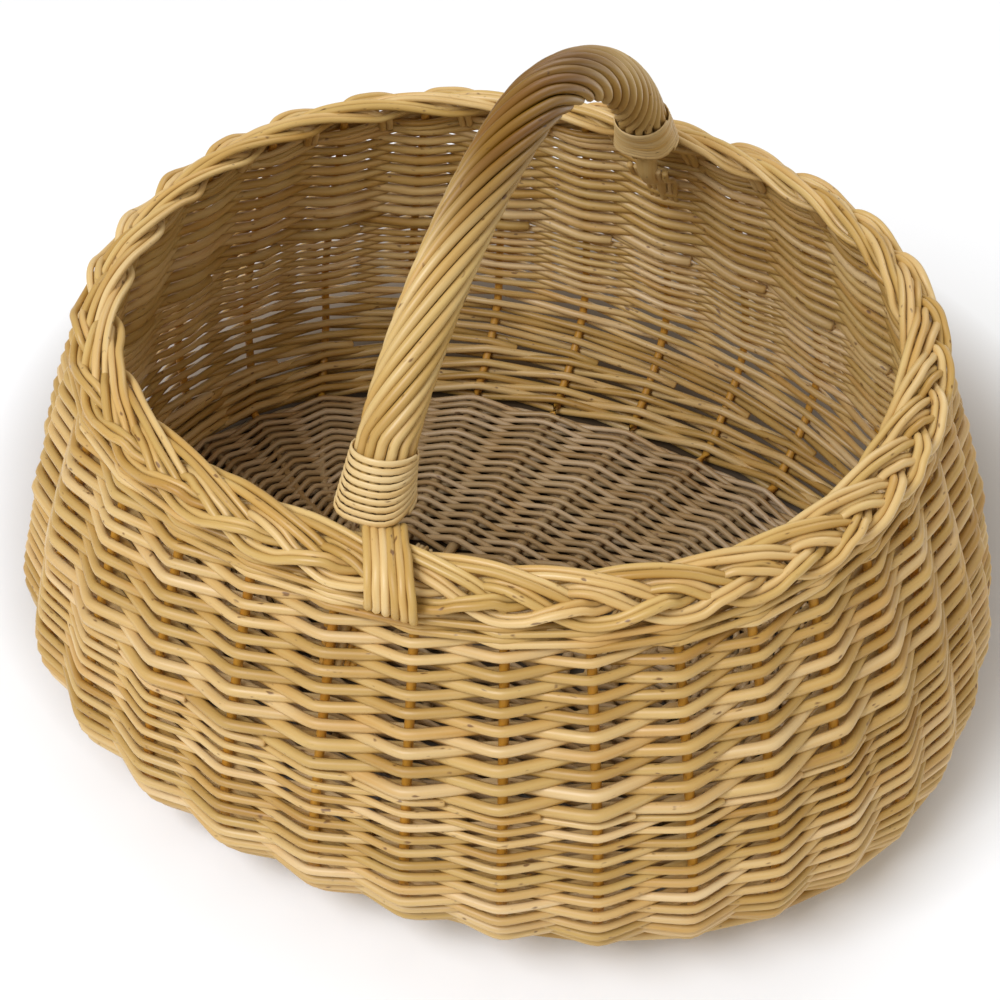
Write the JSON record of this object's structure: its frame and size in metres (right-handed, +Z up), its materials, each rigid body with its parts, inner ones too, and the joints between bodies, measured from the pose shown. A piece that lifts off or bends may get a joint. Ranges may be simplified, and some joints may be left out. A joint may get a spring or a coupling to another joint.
{
  "type": "egg collection basket",
  "caption": "Oval, round-bellied willow basket with a woven base, randed sides, plaited rim and a fixed roped bow handle across its width, for collecting eggs.",
  "frame": {"origin": "middle of the resting plane under the base", "axes": "+X along the basket's length, +Y across it, from one handle foot to the other, +Z up"},
  "size_m": [0.4589, 0.4046, 0.3134],
  "materials": {
    "siding_willow": "satin",
    "stake_willow": "satin",
    "base_willow": "satin",
    "border_willow": "satin",
    "handle_willow": "satin",
    "skein": "satin"
  },
  "bodies": {
    "root": {"foot_wale": "siding_willow", "base_cross_sticks": "base_willow", "base_long_sticks": "base_willow", "slath_ties": "skein", "base_weave": "base_willow", "side_stakes": "stake_willow", "upsett_wale": "siding_willow", "siding_lower": "siding_willow", "siding_upper": "siding_willow", "top_wale": "siding_willow", "border_strand_a": "border_willow", "border_strand_b": "border_willow", "border_strand_c": "border_willow", "handle_bow": "handle_willow", "handle_rope_a": "handle_willow", "handle_rope_b": "handle_willow", "handle_rope_c": "handle_willow", "handle_rope_d": "handle_willow", "front_collar": "skein", "back_collar": "skein", "front_strap": "handle_willow", "back_strap": "handle_willow", "front_tails": "stake_willow", "back_tails": "stake_willow"}
  },
  "joints": []
}
